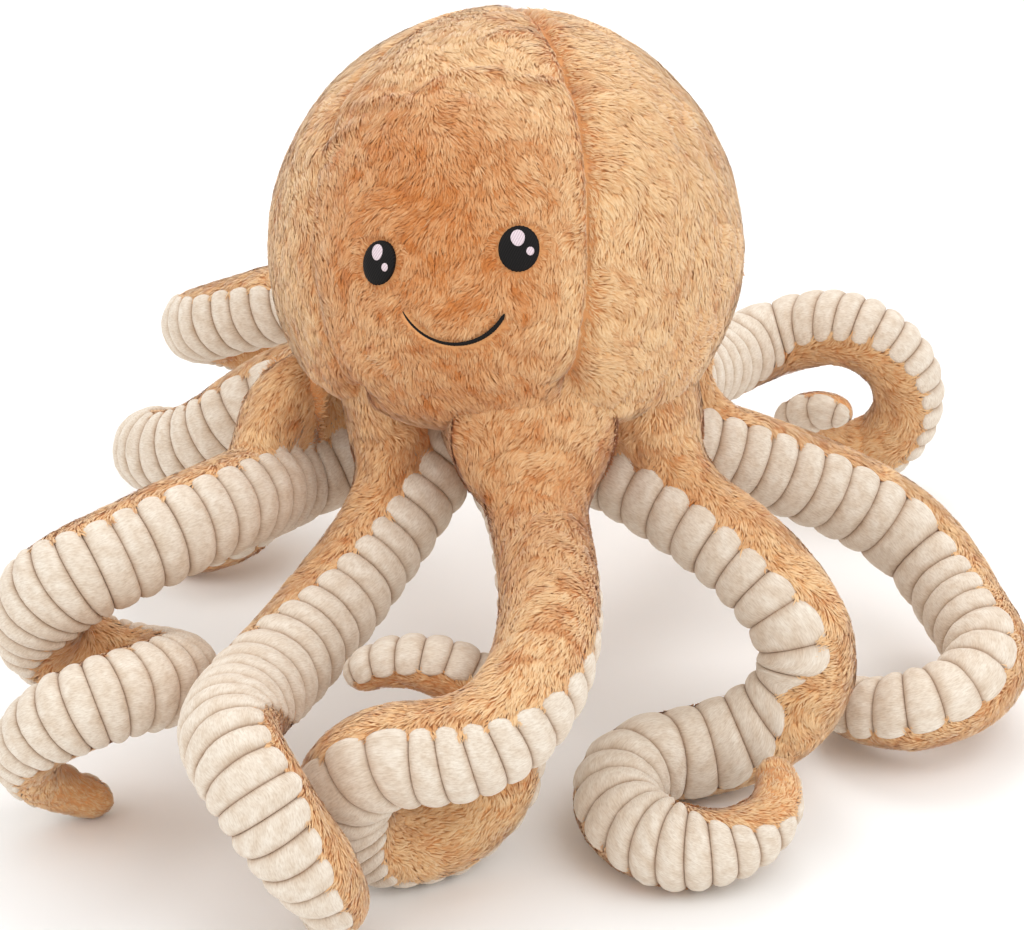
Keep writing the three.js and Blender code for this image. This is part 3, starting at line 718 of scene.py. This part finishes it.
# lengths in mm, angles in degrees. The arch: its root's bearing, its pitch down, its two handles, the
# fur's lean from straight up and how long that holds. The curl: where its circle stands, how its
# axis tilts toward a bearing, its first and last radius, its start, sweep and climb, and how the
# fur rolls along it.
tentacles = [
    {"name": "front_right", "root": 22.5, "pitch": -16.8, "out": 51.8, "back": 73.1, "furLean": 0,
     "furHold": 0.3, "bearing": 6.9, "reach": 199.1, "height": 45.6, "tilt": -82.4, "toward": 21.4,
     "first": 31.1, "last": 31.6, "start": 12.1, "sweep": -403, "rise": 60.7,
     "rolls": [108, 92, 55, -20, -60, -50, -30, -5, 0]},
    {"name": "right_front", "root": 67.5, "pitch": 11.8, "out": 150, "back": 64, "furLean": -55,
     "furHold": 0.2, "bearing": 43.2, "reach": 162.8, "height": 13.9, "tilt": 8.6, "toward": 24,
     "first": 35, "last": 28.2, "start": 211.8, "sweep": 278.6, "rise": 15.5,
     "rolls": [-128, -105, -70, 0, 60, 70]},
    {"name": "right_back", "root": 112.5, "pitch": 19.4, "out": 142.2, "back": 70.5, "furLean": -70,
     "furHold": 0.3, "bearing": 86.6, "reach": 170.9, "height": 36.3, "tilt": -1.3, "toward": 20.3,
     "first": 43, "last": 10, "start": 128.1, "sweep": -278.5, "rise": -30.8,
     "rolls": [-165, -95, -60, -50, -50]},
    {"name": "back_right", "root": 157.5, "pitch": 20, "out": 110, "back": 60, "furLean": -90,
     "furHold": 0, "bearing": 154.8, "reach": 266, "height": 48.6, "tilt": -75, "toward": 5,
     "first": 36, "last": 17, "start": -25, "sweep": 405, "rise": -50,
     "rolls": [-10, -25, -30, 10, 60, 100]},
    {"name": "back_left", "root": -157.5, "pitch": -15, "out": 90, "back": 60, "furLean": 0,
     "furHold": 0.3, "bearing": -134, "reach": 250, "height": 89.3, "tilt": 0, "toward": 15,
     "first": 27, "last": 18, "start": -10, "sweep": -400, "rise": -85, "rolls": [30, 20, 0]},
    {"name": "left_back", "root": -112.5, "pitch": -5, "out": 80, "back": 50, "furLean": 60,
     "furHold": 0, "bearing": -111, "reach": 172, "height": 67.6, "tilt": 0, "toward": 15, "first": 26,
     "last": 18, "start": -20, "sweep": -400, "rise": -62.3, "rolls": [0, -20, -60, -60]},
    {"name": "left_front", "root": -67.5, "pitch": 25.8, "out": 80.5, "back": 110, "furLean": 60,
     "furHold": 0.2, "bearing": -45.3, "reach": 186.6, "height": 89.5, "tilt": 42.8, "toward": -155.9,
     "first": 21.3, "last": 33.4, "start": 19.9, "sweep": -535.6, "rise": -82.8,
     "rolls": [50, 25, -20, -40, -10, 20, 10, -20, -40]},
    {"name": "front_left", "root": -22.5, "pitch": 34.6, "out": 150, "back": 50.6, "furLean": 70,
     "furHold": 0, "bearing": -2.2, "reach": 203.8, "height": 55.3, "tilt": 30.5, "toward": 117,
     "first": 46, "last": 13.9, "start": -25.1, "sweep": 127.4, "rise": -50.5,
     "rolls": [-8, 75, 110, 110]},
]


def curlAt(spec, share):
    # a circle about a leaning axis: its radius goes from first to last, and it climbs by rise.
    # The fur looks at the axis, and rolls turn it about the tentacle.
    angle = spec["start"] + spec["sweep"] * share
    radius = (spec["first"] + (spec["last"] - spec["first"]) * share) * mm
    toward = heading(spec["toward"])
    lean = turnAbout(unit(np.cross([0, 0, 1.0], toward)), spec["tilt"])
    away, axis = heading(angle) @ lean.T, lean @ [0, 0, 1.0]
    centre = toyAxis + heading(spec["bearing"]) * spec["reach"] * mm
    centre = centre + [0, 0, spec["height"] * mm]
    rolls = np.array(spec["rolls"], float)
    roll = np.radians(np.interp(share * (len(rolls) - 1), np.arange(len(rolls)), rolls))[:, None]
    points = centre + away * radius[:, None] + axis * (spec["rise"] * mm * share)[:, None]
    return points, axis * np.sin(roll) - away * np.cos(roll)


def uprightOf(along):
    return unit(np.array([0, 0, 1.0]) - along * along[..., 2:3])


def layPath(spec):
    # the arch is a cubic curve from the root to the start of the curl, and the curl follows it.
    # Both are laid out closely, measured, and read again at even lengths.
    ends, endFur = curlAt(spec, np.array([0.0, 0.001]))
    entry = unit(ends[1] - ends[0])
    out = heading(spec["root"])
    leave = out * math.cos(math.radians(spec["pitch"])) - [0, 0, math.sin(math.radians(spec["pitch"]))]
    root = toyAxis + out * arm["rootReach"] + [0, 0, headCentre[2] - 0.082]
    handles = np.array([root, root + leave * spec["out"] * mm,
                        ends[0] - entry * spec["back"] * mm, ends[0]])
    t = np.linspace(0, 1, 160, endpoint=False)[:, None]
    arch = ((1 - t) ** 3 * handles[0] + 3 * (1 - t) ** 2 * t * handles[1]
            + 3 * (1 - t) * t ** 2 * handles[2] + t ** 3 * handles[3])
    slope = unit((1 - t) ** 2 * (handles[1] - handles[0]) + 2 * (1 - t) * t * (handles[2] - handles[1])
                 + t ** 2 * (handles[3] - handles[2]))
    base = uprightOf(entry)
    side = np.cross(entry, base)
    last = math.degrees(math.atan2(endFur[0] @ side, endFur[0] @ base))
    turnBy = (last - spec["furLean"] + 180) % 360 - 180
    lean = spec["furLean"] + turnBy * smooth((t[:, 0] - spec["furHold"]) / (1 - spec["furHold"]))
    archFur = turned(uprightOf(slope), slope, lean)
    curl, curlFur = curlAt(spec, np.linspace(0, 1, 420))
    inside = np.linspace(arm["inHead"], 0, 12, endpoint=False)[:, None]
    points = np.concatenate([root - leave * inside, arch, curl])
    fur = np.concatenate([np.repeat(archFur[:1], 12, axis=0), archFur, curlFur])
    length = np.concatenate([[0], np.cumsum(np.linalg.norm(np.diff(points, axis=0), axis=1))])
    length -= arm["inHead"]
    even = np.linspace(length[0], length[-1], 700)
    points = np.stack([np.interp(even, length, points[:, k]) for k in range(3)], axis=1)
    fur = np.stack([np.interp(even, length, fur[:, k]) for k in range(3)], axis=1)
    soft = np.ones(9) / 9
    padded = np.pad(points, ((4, 4), (0, 0)), mode="reflect", reflect_type="odd")
    points = np.stack([np.convolve(padded[:, k], soft, "valid") for k in range(3)], axis=1)
    along = unit(np.gradient(points, even, axis=0))
    fur = unit(flatOn(fur, along))
    return {"length": even, "point": points, "along": along, "fur": fur,
            "side": np.cross(along, fur), "total": even[-1]}


def tubeRadius(path, length):
    # full, then tapering to the tip, and rounded off at the very end
    share = length / path["total"]
    slim = arm["radius"] - arm["slimming"]
    radius = np.interp(share, [arm["full"], arm["slim"], 1], [arm["radius"], slim, arm["tip"]])
    left = np.clip((path["total"] - length) / arm["tipRound"], 0, 1)
    return radius * np.sqrt(np.maximum(1 - (1 - left) ** 2, 1e-6))


def neckFillet(point, along, way, radius, length):
    # a ball of radius f rests on the head and on the tube, on the side that looks at the head's
    # middle: its own middle is r + f from the path and R + f from the head's middle. With u the length
    # still to go to that ball's foot, the tube rises by f - sqrt(f^2 - u^2), less away from that side.
    f = arm["fillet"]
    toHead = headCentre - point
    lean = unit(flatOn(toHead, along))
    middle = point + lean * (radius + f)[:, None] - headCentre
    reach = np.linalg.norm(middle, axis=1)
    climb = np.maximum((along * middle).sum(axis=1) / reach, 0.4)
    u = (f + head["skin"] + arm["pileDepth"] - reach) / climb
    near = np.clip(u, 0, 0.97 * f)
    rise = f - np.sqrt(f * f - near * near) + 1.5 * np.clip(u - 0.97 * f, 0, 0.6 * f)
    facing = (way * lean).sum(axis=1).clip(0) ** 1.5
    return rise * facing * smooth((arm["filletEnd"] - length) / (25 * mm))


def tubePoint(path, length, angle, inset):
    # a point of the tube: the path's point plus (fur cos + side sin) times the radius less an inset
    point, along, fur, side = (
        np.stack([np.interp(length, path["length"], path[key][:, k]) for k in range(3)], axis=1)
        for key in ("point", "along", "fur", "side"))
    turn = np.radians(angle)[:, None]
    way = unit(fur * np.cos(turn) + side * np.sin(turn))
    radius = tubeRadius(path, length)
    fromFur = np.minimum(np.abs(angle), 360 - np.abs(angle))
    furSide = smooth((102 - fromFur) / 32)
    out = radius - np.minimum(inset, radius * 0.75)
    out = out + furSide * neckFillet(point, along, way, radius, length)
    return point + way * out[:, None]


def onTube(path, length, angle, inset):
    # that point and its outward normal: the change round the tube crossed with the change along it
    step = 0.4 * mm
    ahead = np.minimum(length + step, path["total"] - 0.01 * mm)
    forward = tubePoint(path, ahead, angle, inset) - tubePoint(path, ahead - 2 * step, angle, inset)
    across = tubePoint(path, length, angle + 1, inset) - tubePoint(path, length, angle - 1, inset)
    return tubePoint(path, length, angle, inset), unit(np.cross(across, forward)), unit(forward)


def restOnFloor(points):
    # cloth that would sink into the floor spreads on it
    points[:, 2] = np.maximum(points[:, 2], floorGap)
    return points


def makeFurStrip(spec, path, number):
    rows, columns = 240, 26
    length, angle = cornerTable(np.linspace(-arm["inHead"], path["total"] - 0.05 * mm, rows),
                                np.linspace(-arm["furEdge"] - 6, arm["furEdge"] + 6, columns))
    length, angle = length.ravel(), angle.ravel()
    seam = np.exp(-((np.abs(angle) - arm["furEdge"] - 4) / 7) ** 2)
    thin = np.minimum(1, tubeRadius(path, length) / arm["thinBelow"])
    skin, normal, _ = onTube(path, length, angle, (arm["pileDepth"] + arm["seamDip"] * seam) * thin)
    faces = gridFaces(rows, columns)

    # strands stand evenly over the cloth: a cell of the grid gets its share by its area
    chance = np.random.default_rng(100 + number)
    corner = skin[faces[:, 0]]
    cells = np.linalg.norm(np.cross(skin[faces[:, 1]] - corner, skin[faces[:, 3]] - corner), axis=1)
    cells *= length[faces[:, 0]] > -6 * mm
    count = int(cells.sum() / mm ** 2 * pile["perMillimetre"] * arm["strands"])
    cell = np.searchsorted(np.cumsum(cells), chance.random(count) * cells.sum())
    one, two = chance.random(count), chance.random(count)
    low, high = faces[cell].min(axis=1), faces[cell].max(axis=1)
    length = length[low] + (length[high] - length[low]) * one
    angle = angle[low] + (angle[high] - angle[low]) * two
    radius = tubeRadius(path, length)
    inset = arm["pileDepth"] * np.minimum(1, radius / arm["thinBelow"])
    roots, normals, along = onTube(path, length, angle, inset)
    beside = np.cross(along, normals) * np.sign(angle)[:, None]
    flare = np.exp(-((arm["furEdge"] - np.abs(angle)) / 14).clip(0) ** 2)[:, None]
    comb = along + beside * flare * 0.9
    slim = (radius / arm["radius"]).clip(0.35, 1.05) ** 0.7
    # painted shade on the pile under the head's overhang
    spot = arm["shadePlace"]
    shadePlace = toyAxis + heading(spot["bearing"]) * spot["reach"] + [0, 0, spot["height"]]
    shadeNear = np.exp(-(np.linalg.norm(roots - shadePlace, axis=1) / arm["underHeadShadeWidth"]) ** 2)
    tint = arm["tint"] - arm["underHeadShade"] * shadeNear
    grown = growPile(roots, normals, comb, pile["length"] * slim, 200 + number, tint)
    grown = (restOnFloor(grown[0]), *grown[1:])
    piece = plushPiece(f"plush_strip_{spec['name']}", restOnFloor(skin), faces, normal, grown)
    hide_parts(f"{spec['name']}_fur_strip")
    return piece


def makeRibStrip(spec, path, number):
    # ribs run across the strip: their phase is the outer edge's length over the pitch, and a rib's
    # height is a power of |sin| of it, round on top and sharp in the crease. The edge is scalloped.
    chance = np.random.default_rng(300 + number)
    outer = tubePoint(path, path["length"], np.full(len(path["length"]), 180.0), 0)
    travelled = np.concatenate([[0], np.cumsum(np.linalg.norm(np.diff(outer, axis=0), axis=1))])
    count = int(round(travelled[-1] / ribs["pitch"]))
    pitches = 1 + ribs["uneven"] * chance.uniform(-1, 1, count)
    marksAt = np.concatenate([[0], np.cumsum(pitches)])
    marksAt *= travelled[-1] / marksAt[-1]
    inRib = 0.5 - 0.5 * np.cos(np.linspace(0, np.pi, ribs["samples"], endpoint=False))
    phase = np.append((np.arange(count)[:, None] + inRib).ravel(), count)
    length = np.interp(np.interp(phase, np.arange(count + 1), marksAt), travelled, path["length"])
    length[-1] = path["total"] - 0.05 * mm
    rows, columns = len(length), ribs["columns"]
    crest = np.abs(np.sin(np.pi * phase)) ** ribs["round"]
    edge = 180 - arm["furEdge"] - 2 + ribs["overlap"] * crest
    spread = np.linspace(-1, 1, columns)
    spread = np.sign(spread) * (1 - (1 - np.abs(spread)) ** 1.25)
    angle = 180 + edge[:, None] * spread
    tall = np.repeat(chance.uniform(0.82, 1.12, count + 1), ribs["samples"])[:rows]
    away = (edge[:, None] - np.abs(angle - 180)) / ribs["endWidth"]
    end = (1 - smooth(away)) ** 1.4
    length2 = np.repeat(length, columns)
    radius = tubeRadius(path, length)
    depth = ribs["depth"] * np.minimum(1, radius / (11 * mm)) * tall
    drop = ribs["endDrop"] * end * np.minimum(1, radius / (14 * mm))[:, None]
    inset = (depth[:, None] * (1 - crest[:, None]) + drop).ravel()
    base = tubePoint(path, length2, angle.ravel(), np.zeros(rows * columns))
    (fineDepth, fineSize), (broadDepth, broadSize) = ribs["fine"], ribs["broad"]
    inset = inset + fineDepth * drift(base, fineSize) + broadDepth * drift(base, broadSize, 1)
    points = tubePoint(path, length2, angle.ravel(), inset)
    faces = gridFaces(rows, columns)
    acrossMap = (np.radians(angle - 180) * arm["radius"]).ravel()
    cloth = np.stack([acrossMap, np.repeat(np.interp(length, path["length"], travelled), columns)], axis=1)
    # painted shade: the mark falls toward the crease colour in each crease and at the ribs' ends, where
    # they go under the fur
    mark = np.repeat(crest, columns) * (1 - 0.75 * end.ravel())
    piece = makePiece(f"ribbed_strip_{spec['name']}", restOnFloor(points), [faces], [ribCloth],
                      maps={"cloth": cloth[faces.ravel()]}, marks={"crest": mark})
    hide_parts(f"{spec['name']}_ribbed_strip")
    return piece


def makeArm(spec, number):
    path = layPath(spec)
    outer = tubePoint(path, np.repeat(path["length"], 24), np.tile(np.arange(24) * 15.0, 700), 0)
    spec = {**spec, "height": spec["height"] - (outer[:, 2].min() / mm) - 0.4}
    path = layPath(spec)
    fur = makeFurStrip(spec, path, number)
    strip = makeRibStrip(spec, path, number)
    rows, columns = 90, 20
    length, angle = cornerTable(np.linspace(-arm["inHead"] * 0.5, path["total"] - arm["shortBy"], rows),
                                np.arange(columns) * 360 / columns)
    core = tubePoint(path, length.ravel(), angle.ravel(), arm["stuffing"])
    filling = makeFilling(f"fill_{spec['name']}", f"{spec['name']}_stuffing", restOnFloor(core),
                          rows, columns)
    for piece in (fur, strip, filling):
        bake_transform(piece)
    print("tentacle", spec["name"], "sewn, length", round(path["total"] / mm), "mm")


for number, spec in enumerate(tentacles):
    makeArm(spec, number)


# floor, light and camera
setting = {"floor": (247, 247, 247), "world": 0.88,
           # each lamp: its bearing, rise, distance, width and power
           "lamps": {"keyLamp": (62, 48, 1.9, 1.8, 11.5), "fillLamp": (-48, 34, 2.1, 1.6, 8),
                     "backLamp": (190, 55, 2.0, 1.2, 11)},
           "azimuth": 15, "elevation": 25, "distance": 1.150, "lens": 94.57,
           "aim": (0.0026, 0.0007, 0.097)}


def makeFloor():
    side = np.linspace(-6, 6, 13)
    x, y = np.meshgrid(side, side)
    points = np.stack([x.ravel(), y.ravel(), np.zeros(x.size)], axis=1)
    wires = Wiring("paleFloor")
    place = wires.add("ShaderNodeTexCoord")
    grain = wires.add("ShaderNodeTexNoise", {"Vector": place.outputs["Object"], "Scale": 3.0})
    pale = setting["floor"]
    colour = wires.ramp(grain.outputs["Fac"], [(0.0, pale), (1.0, [part + 3 for part in pale])])
    material = wires.finish(colour, 0.9, shine=0.1)
    floor = makePiece("floor", points, [gridFaces(13, 13)], [material])


def aimAt(name, data, target, bearing, rise, distance):
    # a lamp or camera that looks at a point near the toy's axis, from a direction and distance
    way = sphereWay(bearing, rise)
    holder = bpy.data.objects.new(name, data)
    holder.location = toyAxis + target + way * distance
    holder.rotation_euler = Vector(way).to_track_quat("Z", "Y").to_euler()
    bpy.context.scene.collection.objects.link(holder)
    return holder


makeFloor()
for lampName, (bearing, rise, distance, size, power) in setting["lamps"].items():
    lamp = bpy.data.lights.new(lampName, "AREA")
    lamp.shape, lamp.size, lamp.energy = "DISK", size, power
    aimAt(lampName, lamp, [0, 0, 0.13], bearing, rise, distance)

world = bpy.data.worlds.new("studio")
bpy.context.scene.world = world
world.use_nodes = True
nodes, links = world.node_tree.nodes, world.node_tree.links
sky, white = nodes["Background"], nodes.new("ShaderNodeBackground")
sky.inputs["Color"].default_value = (1.0, 0.99, 0.975, 1.0)
sky.inputs["Strength"].default_value = setting["world"]
white.inputs["Color"].default_value = (1, 1, 1, 1)
white.inputs["Strength"].default_value = 1.0
rays, choose = nodes.new("ShaderNodeLightPath"), nodes.new("ShaderNodeMixShader")
links.new(rays.outputs["Is Camera Ray"], choose.inputs["Fac"])
links.new(sky.outputs["Background"], choose.inputs[1])
links.new(white.outputs["Background"], choose.inputs[2])
links.new(choose.outputs["Shader"], nodes["World Output"].inputs["Surface"])

camera = bpy.data.cameras.new("studioCamera")
camera.lens, camera.sensor_width, camera.clip_end = setting["lens"], 36.0, 50.0
bpy.context.scene.camera = aimAt("studioCamera", camera, setting["aim"], setting["azimuth"],
                                 setting["elevation"], setting["distance"])
bpy.context.scene.view_settings.view_transform = "Standard"

print("stage lit")
